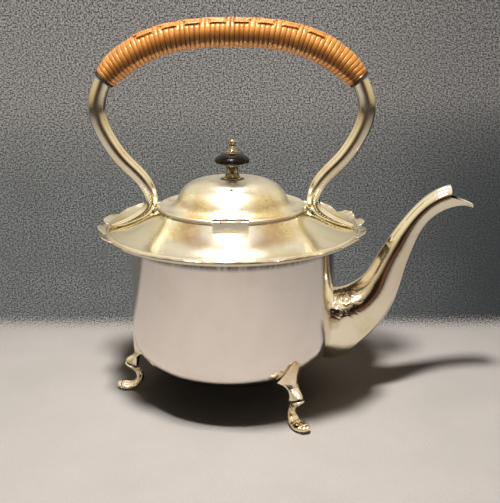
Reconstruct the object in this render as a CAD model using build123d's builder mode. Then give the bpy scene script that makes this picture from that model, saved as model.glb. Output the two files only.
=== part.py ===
from build123d import *
import os
from math import cos, radians, sin, sqrt

# A plated tea kettle: a round bowl on three scroll feet, a dished shoulder with a leaf-edged
# border, a hinged domed lid with an ebony knob, a swan-neck spout with an open lip, and a fixed
# overhead handle wrapped in split cane. Millimetres, +Z up, soles on z = 0. The spout points
# along +X and the lid's hinge is on the -Y side. The origin lies on the table, under the middle
# of the kettle's length and width.
os.makedirs("parts", exist_ok=True)

# ---- Driving dimensions -------------------------------------------------------------------
SPOUT_REACH = 150.8         # bowl axis to the tip of the spout
HANDLE_REACH = 87.5         # bowl axis to the outside of the handle's bow
AXIS_X = (HANDLE_REACH - SPOUT_REACH) / 2

SHEET = 1.2                 # gauge of the raised and spun sheet

BOWL_R = 64.6               # widest, where the wall begins to turn under
BOWL_TOP_R = 64.3
BOWL_TOP_Z = 112.9          # trimmed off under the shoulder
TURN_Z = 48.5               # where the wall begins to turn under
BASE_Z = 20.0               # underside, clear of the table
BASE_R = 15.0               # flat of the underside
BASE_PULL_R = 39.5          # how far out the underside stays flat

MOUTH_R = 45.6              # hole in the shoulder
MOUTH_Z = 123.6             # top of the shoulder at the mouth
SHOULDER_R = 78.6
SHOULDER_Z = 110.4
SHOULDER_PULLS = ((52, 119.2), (66, 110.7))     # what its dished profile is drawn towards

BORDER_IN_R = 76.4          # cast leaf border, laid on the shoulder's edge
BORDER_IN_Z = 111.8
BORDER_OUT_R = 88.0         # beyond the longest leaf
BORDER_OUT_Z = 116.6        # the leaves curl up
BORDER_T = 1.5
BORDER_COVE = ((81.2, 112.5), (84.4, 114.2))            # its upper face, from bead to edge
BORDER_UNDER = ((84.0, 112.6), (79.4, SHOULDER_Z - 0.1))
BEAD_W = 1.8                # rolled bead along its inner edge
BEAD_H = 0.7

SEAT_Z = 124.6              # where the lid rests on the mouth's collar
COLLAR_IN_R = 43.2
COLLAR_LIP_R = 46.3
COLLAR_BASE_Z = 119.4

LID_R = 45.9
LID_RIM_T = 1.5
DOME_TOP_Z = 142.0
LID_SHEET = 1.0
LID_OUTSIDE = (
    (0, DOME_TOP_Z), (12, 141.95), (20, 141.4), (25, 140.0), (29, 137.6), (32, 134.3), (34, 130.6),
    (35.4, 127.6), (37.4, 125.9), (40.5, 125.4), (LID_R - 0.5, SEAT_Z + LID_RIM_T),
)
LID_INSIDE = (
    (41.4, SEAT_Z), (39.6, 124.3), (36.9, 124.7), (34.4, 127.1), (33.0, 130.2), (31.1, 133.7),
    (28.3, 136.75), (24.6, 139.0), (19.8, 140.4), (12, 140.95), (0, DOME_TOP_Z - LID_SHEET),
)
BEZEL_R = 42.4
BEZEL_BASE_Z = 119.0
VENT_R = 0.8
VENT_Y = -12.5

HINGE_Y = -47.3             # axis of the lid's hinge, from the bowl axis
HINGE_Z = 127.3
HINGE_W = 20.4
BARREL_R = 2.6
PIN_R = 0.7
PIN_RUNNING = 0.05          # radial clearance of the lid's knuckles on the pin
KNUCKLES = 5
KNUCKLE_GAP = 0.15
LEAF_IN_Y = -41.2           # inner edge of the lid's hinge leaf
CRADLE_R = BARREL_R + 0.35  # hollow of the fixed leaf, round the knuckles
CRADLE_W = 0.7              # its front wall
SEAT_TOP_Z = HINGE_Z - BARREL_R - 0.35      # fixed leaf, clear under the lid's knuckles
CRADLE_TOP_Z = HINGE_Z - 1.2    # low enough for the lid's leaf to swing over it
CRADLE_OUT_Y = HINGE_Y - CRADLE_R - CRADLE_W
LEAF_OUT_Y = HINGE_Y + BARREL_R + 0.4
LEAF_TOP_Z = HINGE_Z + BARREL_R

KNOB_R = 10.6               # ebony button of the finial
KNOB_Z = 151.9
KNOB_TOP_Z = 157.7
STEM_TOP_Z = 150.7
CAP_TOP_Z = 162.7
BALL_R = 2.25
STUD_R = 1.4                # threaded stud up the middle
NUT_T = 3.0

GRIP_R = 8.4                # over the cane, at the middle
GRIP_END_R = 6.6
GRIP_TOP_Z = 237.6
CORE_R = 5.0

FOOT_ANGLES = {"left": 180.0, "front": -54.3, "back": 54.3}
FOOT_TILT = 20.0            # of the ankle's collar, higher on its outer side

# ---- Planes and shared forms --------------------------------------------------------------
upright = Plane(origin=(AXIS_X, 0, 0), x_dir=(1, 0, 0), z_dir=(0, -1, 0))
bowl_axis = Axis((AXIS_X, 0, 0), (0, 0, 1))
hinge_side = Plane(origin=(AXIS_X, 0, 0), x_dir=(0, 1, 0), z_dir=(1, 0, 0))


def radial(angle):
    """Upright plane through the bowl axis: local x runs outwards at this angle, y runs up."""
    a = radians(angle)
    return Plane(origin=(AXIS_X, 0, 0), x_dir=(cos(a), sin(a), 0), z_dir=(sin(a), -cos(a), 0))


def station(plane, x, y, heading):
    """Plane across a tube that passes (x, y) of an upright plane at this heading in degrees."""
    a = radians(heading)
    run = plane.x_dir * cos(a) + plane.y_dir * sin(a)
    return Plane(plane.from_local_coords((x, y)), x_dir=plane.z_dir, z_dir=run)


def lofted(plane, sections):
    """Oval tube; each section is (x, y, heading, half its width, half its depth)."""
    with BuildPart() as form:
        for x, y, heading, wide, deep in sections:
            with BuildSketch(station(plane, x, y, heading)):
                Ellipse(wide, deep)
        loft()
    return form.part


def bent(plane, stations):
    """Oval tube whose sections, (x, y, half width, half depth), stand square to one spline."""
    with BuildLine(plane):
        line = Spline(*[(x, y) for x, y, _, _ in stations])
    with BuildPart() as form:
        for x, y, wide, deep in stations:
            at = line.param_at_point(plane.from_local_coords((x, y)))
            with BuildSketch(Plane(line @ at, x_dir=plane.z_dir, z_dir=line % at)):
                Ellipse(wide, deep)
        loft()
    return form.part


def bowl_form(inset):
    """The bowl as a solid, drawn in by this much all over."""
    with BuildPart() as form:
        with BuildSketch(upright):
            with BuildLine():
                Polyline((0, BASE_Z + inset), (0, BOWL_TOP_Z), (BOWL_TOP_R - inset, BOWL_TOP_Z),
                         (BOWL_R - inset, TURN_Z))
                Bezier((BOWL_R - inset, TURN_Z), (BOWL_R - inset, BASE_Z + 1 + inset),
                       (BASE_PULL_R, BASE_Z + inset), (BASE_R, BASE_Z + inset))
                Line((BASE_R, BASE_Z + inset), (0, BASE_Z + inset))
            make_face()
        revolve(axis=bowl_axis)
    return form.part


def shoulder_form(thick):
    """The dished shoulder, this thick below its upper face."""
    with BuildPart() as form:
        with BuildSketch(upright):
            with BuildLine():
                Bezier((MOUTH_R, MOUTH_Z), *SHOULDER_PULLS, (SHOULDER_R, SHOULDER_Z))
                Line((SHOULDER_R, SHOULDER_Z), (SHOULDER_R, SHOULDER_Z - thick))
                Bezier((SHOULDER_R, SHOULDER_Z - thick),
                       *[(r, z - thick) for r, z in reversed(SHOULDER_PULLS)],
                       (MOUTH_R, MOUTH_Z - thick))
                Line((MOUTH_R, MOUTH_Z - thick), (MOUTH_R, MOUTH_Z))
            make_face()
        revolve(axis=bowl_axis)
    return form.part


def ring_form(inner_r, outer_r, base_z, top_z):
    """A plain ring about the bowl axis."""
    with BuildPart() as form:
        with BuildSketch(Plane((AXIS_X, 0, base_z))):
            Circle(outer_r)
            Circle(inner_r, mode=Mode.SUBTRACT)
        extrude(amount=top_z - base_z)
    return form.part


def hinge_slot(width, y_from, y_to, z_from, z_to):
    """A block across the hinge, in distances from the bowl axis."""
    with BuildPart() as form:
        with BuildSketch(hinge_side.offset(-width / 2)):
            with Locations(((y_from + y_to) / 2, (z_from + z_to) / 2)):
                Rectangle(y_to - y_from, z_to - z_from)
        extrude(amount=width)
    return form.part


# ---- Spout: raised swan neck, open along its lip ------------------------------------------
# (x, z, heading, half width, half depth) from the root inside the bowl to the tip.
SPOUT_SECTIONS = (
    (57.0, 47.4, 0, 15.5, 23.4),
    (73.5, 51.1, 20, 15.0, 21.4),
    (85.8, 60.4, 34, 13.0, 16.6),
    (93.8, 71.1, 48, 11.0, 13.4),
    (98.4, 81.8, 62, 9.6, 11.2),
    (104.3, 96.0, 64, 8.2, 9.2),
    (111.5, 110.0, 57, 6.9, 7.4),
    (121.1, 122.4, 42, 6.4, 6.7),
    (131.7, 129.5, 22, 6.6, 7.2),
    (141.5, 131.9, 0, 6.4, 7.2),
    (151.8, 129.7, -15, 3.4, 6.3),
)
SPOUT_WALL = 1.1
HOOD_END = (134.8, 131.4)       # the hood stops here and the lip runs on as a gutter
LIP_MID = (144.1, 128.6)
LIP_TIP = (153.6, 124.6)
TONGUE_X = 144.8                # the lip's end is rounded from here on, seen from above
TONGUE_HALF_W = 5.6
POUR_HOLE_R = 11.0
POUR_HOLE_Z = 48.0

spout_bore = lofted(upright, [(x, z, turn, wide - SPOUT_WALL, deep - SPOUT_WALL)
                              for x, z, turn, wide, deep in SPOUT_SECTIONS])

with BuildPart() as lip_cut:
    with BuildSketch(upright.offset(-GRIP_R * 2)):
        with BuildLine():
            Polyline(LIP_TIP, (SPOUT_REACH + 10, LIP_TIP[1]), (SPOUT_REACH + 10, CAP_TOP_Z),
                     (HOOD_END[0] - 0.6, CAP_TOP_Z), (HOOD_END[0] + 0.7, HOOD_END[1] + 3.5),
                     HOOD_END)
            Spline(HOOD_END, LIP_MID, LIP_TIP)
        make_face()
    extrude(amount=GRIP_R * 4)

with BuildPart() as tongue_cut:
    with BuildSketch(Plane((AXIS_X, 0, MOUTH_Z - 5))):
        with Locations((TONGUE_X + GRIP_R, 0)):
            Rectangle(GRIP_R * 2, GRIP_R * 4)
        with Locations((TONGUE_X, 0)):
            Ellipse(SPOUT_REACH - TONGUE_X, TONGUE_HALF_W, mode=Mode.SUBTRACT)
    extrude(amount=GRIP_R * 2)

with BuildPart() as spout:
    add(lofted(upright, SPOUT_SECTIONS))
    add(bowl_form(0), mode=Mode.SUBTRACT)
    add(spout_bore, mode=Mode.SUBTRACT)
    add(lip_cut.part, mode=Mode.SUBTRACT)
    add(tongue_cut.part, mode=Mode.SUBTRACT)

# ---- Bowl ---------------------------------------------------------------------------------
with BuildPart() as bowl:
    add(bowl_form(0))
    add(bowl_form(SHEET), mode=Mode.SUBTRACT)
    add(shoulder_form(SHEET), mode=Mode.SUBTRACT)
    with BuildSketch(Plane((AXIS_X + BOWL_R / 2, 0, POUR_HOLE_Z), z_dir=(1, 0, 0))):
        Circle(POUR_HOLE_R)
    extrude(amount=BOWL_R, mode=Mode.SUBTRACT)

# ---- Shoulder, its cast leaf border and the mouth's collar --------------------------------
with BuildPart() as shoulder:
    add(shoulder_form(SHEET))

# Each leaf of the border: (angle and radius of the notch before it, angle and radius of its tip).
ROUND_LEAVES = (
    (14.0, 82.0, 23.0, 84.9), (30.0, 81.0, 45.0, 85.0), (62.0, 80.5, 77.0, 84.6),
    (92.0, 80.5, 106.5, 84.6), (121.0, 80.5, 139.0, 85.0), (209.0, 80.0, 220.0, 82.6),
    (232.0, 79.2, 245.5, 81.2), (259.0, 79.2, 273.0, 80.8), (287.5, 79.5, 298.0, 81.8),
    (307.0, 81.6, 313.5, 84.4),
)
POINTED_LEAVES = (
    (1.0, 81.0, 4.5, 84.4), (158.0, 82.6, 171.5, 84.4), (176.5, 80.3, 185.0, 84.4),
    (194.0, 79.9, 204.0, 84.5), (319.5, 83.0, 331.5, 84.8), (339.0, 80.3, 346.0, 83.9),
)
LEAF_BULGE = 0.8            # how far a pointed leaf's sides swell


def rim_point(angle, r):
    return (r * cos(radians(angle)), r * sin(radians(angle)))


leaves = sorted(ROUND_LEAVES + POINTED_LEAVES)
with BuildPart() as leaf_outline:
    with BuildSketch(Plane((AXIS_X, 0, SHOULDER_Z - 8))):
        with BuildLine():
            for leaf, after in zip(leaves, leaves[1:] + leaves[:1]):
                start, start_r, tip, tip_r = leaf
                end, end_r = after[0] + (360 if after[0] < start else 0), after[1]
                if leaf in ROUND_LEAVES:
                    Spline(rim_point(start, start_r), rim_point(tip, tip_r), rim_point(end, end_r))
                else:
                    ThreePointArc(rim_point(start, start_r),
                                  rim_point((start + tip) / 2, (start_r + tip_r) / 2 + LEAF_BULGE),
                                  rim_point(tip, tip_r))
                    ThreePointArc(rim_point(tip, tip_r),
                                  rim_point((tip + end) / 2, (tip_r + end_r) / 2 + LEAF_BULGE),
                                  rim_point(end, end_r))
        make_face()
    extrude(amount=20)

with BuildPart() as leaf_border:
    with BuildSketch(upright):
        with BuildLine():
            Spline((BORDER_OUT_R, BORDER_OUT_Z - BORDER_T), *BORDER_UNDER,
                   (BORDER_IN_R, SHOULDER_Z - 0.4))
            Line((BORDER_IN_R, SHOULDER_Z - 0.4), (BORDER_IN_R, BORDER_IN_Z))
            ThreePointArc((BORDER_IN_R, BORDER_IN_Z), (BORDER_IN_R + BEAD_W / 2, BORDER_IN_Z + BEAD_H),
                          (BORDER_IN_R + BEAD_W, BORDER_IN_Z))
            Spline((BORDER_IN_R + BEAD_W, BORDER_IN_Z), *BORDER_COVE, (BORDER_OUT_R, BORDER_OUT_Z))
            Line((BORDER_OUT_R, BORDER_OUT_Z), (BORDER_OUT_R, BORDER_OUT_Z - BORDER_T))
        make_face()
    revolve(axis=bowl_axis)
    add(leaf_outline.part, mode=Mode.INTERSECT)
    add(shoulder_form(SHEET), mode=Mode.SUBTRACT)

with BuildPart() as mouth_collar:
    with BuildSketch(upright):
        with BuildLine():
            Polyline((COLLAR_IN_R, COLLAR_BASE_Z), (COLLAR_IN_R, SEAT_Z), (MOUTH_R, SEAT_Z),
                     (COLLAR_LIP_R, SEAT_Z - 0.5), (COLLAR_LIP_R, MOUTH_Z - 0.9),
                     (MOUTH_R, MOUTH_Z - 0.9), (MOUTH_R, COLLAR_BASE_Z), (COLLAR_IN_R, COLLAR_BASE_Z))
        make_face()
    revolve(axis=bowl_axis)
    add(shoulder_form(SHEET), mode=Mode.SUBTRACT)
    add(hinge_slot(HINGE_W + 0.6, HINGE_Y - 2, HINGE_Y + BARREL_R + 0.3, MOUTH_Z - 0.1, SEAT_Z + 1),
        mode=Mode.SUBTRACT)

# ---- Lid ----------------------------------------------------------------------------------
with BuildPart() as lid_cover:
    with BuildSketch(upright):
        with BuildLine():
            Spline(*LID_OUTSIDE, tangents=((1, 0), (1, 0.2)))
            Polyline(LID_OUTSIDE[-1], (LID_R, SEAT_Z + LID_RIM_T - 0.5), (LID_R, SEAT_Z), LID_INSIDE[0])
            Spline(*LID_INSIDE, tangents=((-1, -0.2), (-1, 0)))
            Line((0, DOME_TOP_Z - LID_SHEET), (0, DOME_TOP_Z))
        make_face()
    revolve(axis=bowl_axis)
    add(hinge_slot(HINGE_W + 1.6, HINGE_Y - 3, HINGE_Y + BARREL_R + 0.4, SEAT_Z - 1, DOME_TOP_Z),
        mode=Mode.SUBTRACT)
    with BuildSketch(Plane((AXIS_X, 0, DOME_TOP_Z - 4))):
        with Locations((0, VENT_Y)):
            Circle(VENT_R)
        Circle(STUD_R)
    extrude(amount=6, mode=Mode.SUBTRACT)

with BuildPart() as lid_bezel:
    add(ring_form(BEZEL_R - LID_SHEET, BEZEL_R, BEZEL_BASE_Z, SEAT_Z))

# ---- Hinge: two leaves with interleaved knuckles on one pin -------------------------------
knuckle_w = HINGE_W / KNUCKLES


def knuckle_starts(first):
    """Left ends of every second knuckle, from this one on."""
    return [-HINGE_W / 2 + i * knuckle_w for i in range(first, KNUCKLES, 2)]


with BuildPart() as hinge_leaf:
    with BuildSketch(hinge_side.offset(-HINGE_W / 2)):
        with BuildLine():
            Polyline((LEAF_OUT_Y, SEAT_Z + 0.4), (LEAF_IN_Y, SEAT_Z + 0.4), (LEAF_IN_Y, LEAF_TOP_Z - 0.8),
                     (LEAF_IN_Y - 0.8, LEAF_TOP_Z), (LEAF_OUT_Y, LEAF_TOP_Z), close=True)
        make_face()
    extrude(amount=HINGE_W)
    for start in knuckle_starts(1):
        with BuildSketch(hinge_side.offset(start + KNUCKLE_GAP)):
            with Locations((HINGE_Y, HINGE_Z)):
                Circle(BARREL_R)
            with BuildLine():
                Polyline((HINGE_Y, HINGE_Z + 1), (HINGE_Y, LEAF_TOP_Z), (LEAF_OUT_Y + 1, LEAF_TOP_Z),
                         (LEAF_OUT_Y + 1, HINGE_Z - 0.6), (HINGE_Y + 1, HINGE_Z - 0.6), close=True)
            make_face()
        extrude(amount=knuckle_w - 2 * KNUCKLE_GAP)
    with BuildSketch(hinge_side.offset(-HINGE_W / 2)):
        with Locations((HINGE_Y, HINGE_Z)):
            Circle(PIN_R + PIN_RUNNING)
    extrude(amount=HINGE_W, mode=Mode.SUBTRACT)
    add(lid_cover.part, mode=Mode.SUBTRACT)

with BuildPart() as hinge_seat:
    with BuildSketch(hinge_side.offset(-HINGE_W / 2)):
        with BuildLine():
            Polyline((-COLLAR_LIP_R, MOUTH_Z - 1.4), (-COLLAR_LIP_R, SEAT_TOP_Z), (HINGE_Y, SEAT_TOP_Z),
                     (HINGE_Y, CRADLE_TOP_Z), (CRADLE_OUT_Y, CRADLE_TOP_Z), (CRADLE_OUT_Y, MOUTH_Z - 4),
                     close=True)
        make_face()
        with Locations((HINGE_Y, HINGE_Z)):
            Circle(CRADLE_R, mode=Mode.SUBTRACT)
    extrude(amount=HINGE_W)
    for start in knuckle_starts(0):
        with BuildSketch(hinge_side.offset(start)):
            with Locations((HINGE_Y, HINGE_Z)):
                Circle(BARREL_R)
            with BuildLine():
                Polyline((HINGE_Y + 0.7, SEAT_TOP_Z), (HINGE_Y + 0.7, HINGE_Z - 1),
                         (CRADLE_OUT_Y + CRADLE_W / 2, CRADLE_TOP_Z),
                         (CRADLE_OUT_Y + CRADLE_W / 2, SEAT_TOP_Z - 1), (HINGE_Y, SEAT_TOP_Z - 1),
                         close=True)
            make_face()
        extrude(amount=knuckle_w)
    add(shoulder_form(SHEET), mode=Mode.SUBTRACT)
    with BuildSketch(hinge_side.offset(-HINGE_W / 2)):
        with Locations((HINGE_Y, HINGE_Z)):
            Circle(PIN_R)
    extrude(amount=HINGE_W, mode=Mode.SUBTRACT)

with BuildPart() as hinge_pin:
    with BuildSketch(hinge_side.offset(-HINGE_W / 2 - 0.3)):
        with Locations((HINGE_Y, HINGE_Z)):
            Circle(PIN_R)
    extrude(amount=HINGE_W + 0.6)

# ---- Finial: silver stem and disc, ebony button, cap with a ball, nut inside the lid ------
with BuildPart() as finial_stem:
    with BuildSketch(upright):
        with BuildLine():
            Line((STUD_R, DOME_TOP_Z), (5.3, DOME_TOP_Z))
            ThreePointArc((5.3, DOME_TOP_Z), (5.6, DOME_TOP_Z + 0.9), (5.0, DOME_TOP_Z + 1.7))
            Spline((5.0, DOME_TOP_Z + 1.7), (3.7, DOME_TOP_Z + 3.2), (3.4, DOME_TOP_Z + 5.6),
                   (3.7, STEM_TOP_Z))
            Polyline((3.7, STEM_TOP_Z), (STUD_R, STEM_TOP_Z), (STUD_R, DOME_TOP_Z))
        make_face()
    revolve(axis=bowl_axis)

with BuildPart() as finial_disc:
    add(ring_form(STUD_R, 6.6, STEM_TOP_Z, KNOB_Z))
    fillet(finial_disc.edges().filter_by(GeomType.CIRCLE).group_by(SortBy.RADIUS)[-1], 0.5)

with BuildPart() as finial_button:
    with BuildSketch(upright):
        with BuildLine():
            Line((STUD_R, KNOB_Z), (7.6, KNOB_Z))
            ThreePointArc((7.6, KNOB_Z), (KNOB_R - 0.3, KNOB_Z + 0.6), (KNOB_R, KNOB_Z + 1.9))
            Spline((KNOB_R, KNOB_Z + 1.9), (8.9, KNOB_Z + 4.2), (3.2, KNOB_TOP_Z),
                   tangents=((0, 1), (-1, 0.1)))
            Polyline((3.2, KNOB_TOP_Z), (STUD_R, KNOB_TOP_Z), (STUD_R, KNOB_Z))
        make_face()
    revolve(axis=bowl_axis)

with BuildPart() as finial_cap:
    with BuildSketch(upright):
        with BuildLine():
            Line((0, KNOB_TOP_Z), (3.1, KNOB_TOP_Z))
            ThreePointArc((3.1, KNOB_TOP_Z), (3.4, KNOB_TOP_Z + 0.6), (3.0, KNOB_TOP_Z + 1.2))
            Spline((3.0, KNOB_TOP_Z + 1.2), (1.8, KNOB_TOP_Z + 3), (1.5, CAP_TOP_Z))
            neck = Line((1.5, CAP_TOP_Z), (1.5, CAP_TOP_Z + 0.3))
            rise = sqrt(BALL_R ** 2 - 1.5 ** 2)
            ThreePointArc(neck @ 1, (BALL_R, CAP_TOP_Z + 0.3 + rise),
                          (0, CAP_TOP_Z + 0.3 + rise + BALL_R))
            Line((0, CAP_TOP_Z + 0.3 + rise + BALL_R), (0, KNOB_TOP_Z))
        make_face()
    revolve(axis=bowl_axis)

with BuildPart() as finial_stud:
    with BuildSketch(Plane((AXIS_X, 0, DOME_TOP_Z - 5))):
        Circle(STUD_R)
    extrude(amount=KNOB_TOP_Z - DOME_TOP_Z + 5)

with BuildPart() as finial_nut:
    with BuildSketch(Plane((AXIS_X, 0, DOME_TOP_Z - LID_SHEET - NUT_T - 0.05))):
        RegularPolygon(4.0, 6)
        Circle(STUD_R, mode=Mode.SUBTRACT)
    extrude(amount=NUT_T)

# ---- Handle: two tapering arms, the bar between them and the cane round it ----------------
# (x, z, half width, half depth) from the end of the grip down to the tail on the border.
ARM_STATIONS = (
    (77.0, 201.6, 5.2, 5.2),
    (81.7, 185.0, 5.4, 5.4),
    (76.6, 168.0, 5.2, 5.2),
    (67.2, 154.0, 5.0, 5.0),
    (57.4, 143.8, 4.8, 4.8),
    (51.6, 134.6, 4.5, 4.5),
    (50.7, 127.6, 4.0, 4.0),
    (53.8, 121.6, 4.1, 3.7),
    (60.8, 117.2, 4.3, 2.8),
    (69.4, 113.6, 3.6, 2.0),
    (76.0, 112.1, 1.4, 0.9),
)
# Half of the grip's line, from the middle to its end: (x, z, radius over the cane).
GRIP_HALF = (
    (0.0, GRIP_TOP_Z - GRIP_R, GRIP_R),
    (22.0, 228.3, 8.4),
    (42.0, 224.4, 8.6),
    (60.0, 216.2, 8.8),
    (70.5, 208.3, 8.2),
    (77.0, 201.6, GRIP_END_R),
)
ARM_SEAT_DEEP = 8.0         # an arm's foot is cut to the shoulder over this depth
STRAND_W = 14.0             # band of strips woven lengthwise along the top
STRAND_END_X = 60.0
STRAND_T = 0.7
BINDING_W = 2.4
BINDING_RISE = 0.3          # over the cane


def grip_line(extra):
    """Stations along the whole grip, with this much added to the cane's radius."""
    right = [(x, z, r + extra, r + extra) for x, z, r in GRIP_HALF]
    left = [(-x, z, wide, deep) for x, z, wide, deep in reversed(right[1:])]
    return left + right


def bar_line():
    """The same stations for the bare bar inside the cane."""
    return [(x, z, CORE_R, CORE_R) for x, z, _, _ in grip_line(0)]


def band_form(side, radius, past_end):
    """A disc round one end of the grip; side is 1 for right, -1 for left."""
    x0, z0, _ = GRIP_HALF[-2]
    x1, z1, _ = GRIP_HALF[-1]
    run = Vector(side * (x1 - x0), 0, z1 - z0 - 1).normalized()
    end = upright.from_local_coords((side * x1, z1))
    with BuildPart() as form:
        with BuildSketch(Plane(end - run * BINDING_W, x_dir=(0, 1, 0), z_dir=run)):
            Circle(radius)
        extrude(amount=BINDING_W + past_end)
    return form.part


with BuildPart() as grip_bar:
    add(bent(upright, bar_line()))

with BuildPart() as binding_right:
    add(band_form(1, GRIP_END_R + BINDING_RISE, 0))
    fillet(binding_right.edges(), 0.6)
    add(grip_bar.part, mode=Mode.SUBTRACT)

with BuildPart() as binding_left:
    add(band_form(-1, GRIP_END_R + BINDING_RISE, 0))
    fillet(binding_left.edges(), 0.6)
    add(grip_bar.part, mode=Mode.SUBTRACT)

with BuildPart() as handle_arm_right:
    add(bent(upright, ARM_STATIONS))
    add(shoulder_form(ARM_SEAT_DEEP), mode=Mode.SUBTRACT)
    add(grip_bar.part, mode=Mode.SUBTRACT)
    add(binding_right.part, mode=Mode.SUBTRACT)

with BuildPart() as handle_arm_left:
    add(bent(upright, [(-x, z, wide, deep) for x, z, wide, deep in ARM_STATIONS]))
    add(shoulder_form(ARM_SEAT_DEEP), mode=Mode.SUBTRACT)
    add(grip_bar.part, mode=Mode.SUBTRACT)
    add(binding_left.part, mode=Mode.SUBTRACT)

with BuildPart() as cane_wrap:
    add(bent(upright, grip_line(0)))
    add(grip_bar.part, mode=Mode.SUBTRACT)
    add(band_form(1, GRIP_R * 2, GRIP_R), mode=Mode.SUBTRACT)
    add(band_form(-1, GRIP_R * 2, GRIP_R), mode=Mode.SUBTRACT)

with BuildPart() as cane_strand:
    add(bent(upright, grip_line(STRAND_T)))
    add(bent(upright, grip_line(0)), mode=Mode.SUBTRACT)
    with BuildSketch(Plane((AXIS_X, 0, GRIP_HALF[-1][1] - 10))):
        Rectangle(2 * STRAND_END_X, STRAND_W)
    extrude(amount=60, mode=Mode.INTERSECT)
    with BuildSketch(upright.offset(-STRAND_W)):
        with BuildLine():
            Spline(*[(x, z) for x, z, _, _ in grip_line(0)])
            Polyline((77.0, 201.6), (77.0, 190), (-77.0, 190), (-77.0, 201.6))
        make_face()
    extrude(amount=2 * STRAND_W, mode=Mode.SUBTRACT)
    add(band_form(1, GRIP_R * 2, GRIP_R), mode=Mode.SUBTRACT)
    add(band_form(-1, GRIP_R * 2, GRIP_R), mode=Mode.SUBTRACT)

# ---- Feet: a stamped knee bracket and a cast scroll, joined at the ankle's collar ---------
# (radius, z, half width, half depth) from the ankle round the scroll to the toe.
SCROLL_STATIONS = (
    (66.6, 17.2, 2.8, 2.6),
    (63.2, 13.4, 2.4, 2.3),
    (61.6, 8.9, 2.7, 2.5),
    (63.3, 5.0, 3.2, 2.8),
    (67.6, 2.8, 4.0, 3.0),
    (72.4, 2.7, 4.6, 3.0),
    (75.8, 3.0, 3.8, 2.3),
    (77.2, 3.2, 1.8, 1.2),
)
# The knee, from the ankle up to where it dies into its shield.
KNEE_STATIONS = (
    (67.9, 19.0, 3.8, 3.6),
    (66.8, 21.6, 3.6, 3.7),
    (64.9, 24.2, 3.2, 3.6),
    (62.9, 27.2, 3.0, 2.6),
    (62.8, 31.0, 2.6, 2.0),
    (63.4, 35.0, 2.2, 1.6),
    (64.2, 39.0, 1.4, 1.0),
)
# Wedge of the knee against the bowl: height, half its width, radius at its edges and at its ridge.
SHIELD_STATIONS = (
    (24.6, 3.3, 55.0, 64.6),
    (28.3, 8.0, 57.1, 64.6),
    (33.0, 5.9, 61.5, 64.8),
    (38.0, 4.0, 63.9, 65.1),
    (41.6, 2.2, 64.9, 65.5),
    (42.4, 0.8, 65.0, 65.4),
)
SHIELD_IN = 6.0             # how far the wedge runs in before the bowl is cut out of it
RIDGE_HALF_W = 1.0
ANKLE = (67.2, 18.2)
ANKLE_HALF_W = 3.7
ANKLE_HALF_D = 4.6
ANKLE_T = 1.7


def scroll_foot(angle):
    """Cast C-scroll with a padded toe, cut flat at the sole."""
    side = radial(angle)
    with BuildPart() as foot:
        add(bent(side, SCROLL_STATIONS))
        with BuildSketch(station(side, *ANKLE, 90 + FOOT_TILT)):
            Ellipse(ANKLE_HALF_W, ANKLE_HALF_D)
        extrude(amount=ANKLE_T / 2, both=True)
        fillet(foot.edges().filter_by(GeomType.ELLIPSE).group_by(SortBy.LENGTH)[-1], 0.6)
        split(bisect_by=Plane.XY, keep=Keep.TOP)
    return foot.part


def knee_bracket(angle):
    """Knee with a flared foot, and a three-cornered wedge that spreads it on the bowl."""
    side = radial(angle)
    with BuildPart() as bracket:
        for z, half_w, edge_r, ridge_r in SHIELD_STATIONS:
            with BuildSketch(Plane(side.origin + Vector(0, 0, z), x_dir=side.x_dir, z_dir=(0, 0, 1))):
                with BuildLine():
                    Polyline((edge_r - SHIELD_IN, -half_w), (edge_r, -half_w), (ridge_r, -RIDGE_HALF_W),
                             (ridge_r, RIDGE_HALF_W), (edge_r, half_w), (edge_r - SHIELD_IN, half_w),
                             close=True)
                make_face()
        loft(ruled=True)
        add(bent(side, KNEE_STATIONS))
    return bracket.part


feet = {}
for where, angle in FOOT_ANGLES.items():
    with BuildPart() as scroll:
        add(scroll_foot(angle))
    with BuildPart() as knee:
        add(knee_bracket(angle))
        add(bowl_form(0), mode=Mode.SUBTRACT)
        add(scroll_foot(angle), mode=Mode.SUBTRACT)
    feet["foot_scroll_" + where] = scroll
    feet["foot_knee_" + where] = knee

# ---- Write one file for each piece --------------------------------------------------------
pieces = {
    "bowl": bowl, "shoulder": shoulder, "leaf_border": leaf_border, "mouth_collar": mouth_collar,
    "spout": spout, "handle_arm_left": handle_arm_left, "handle_arm_right": handle_arm_right,
    "grip_bar": grip_bar, "cane_wrap": cane_wrap, "cane_strand": cane_strand,
    "binding_left": binding_left, "binding_right": binding_right, "lid_cover": lid_cover,
    "lid_bezel": lid_bezel, "hinge_leaf": hinge_leaf, "hinge_seat": hinge_seat,
    "hinge_pin": hinge_pin, "finial_stem": finial_stem, "finial_disc": finial_disc,
    "finial_button": finial_button, "finial_cap": finial_cap, "finial_stud": finial_stud,
    "finial_nut": finial_nut, **feet,
}
for name, piece in pieces.items():
    piece.part.label = name
    export_step(piece.part, "parts/" + name + ".step")
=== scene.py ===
import math
import random

import bpy
import bmesh
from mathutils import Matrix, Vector
import numpy as np


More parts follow.
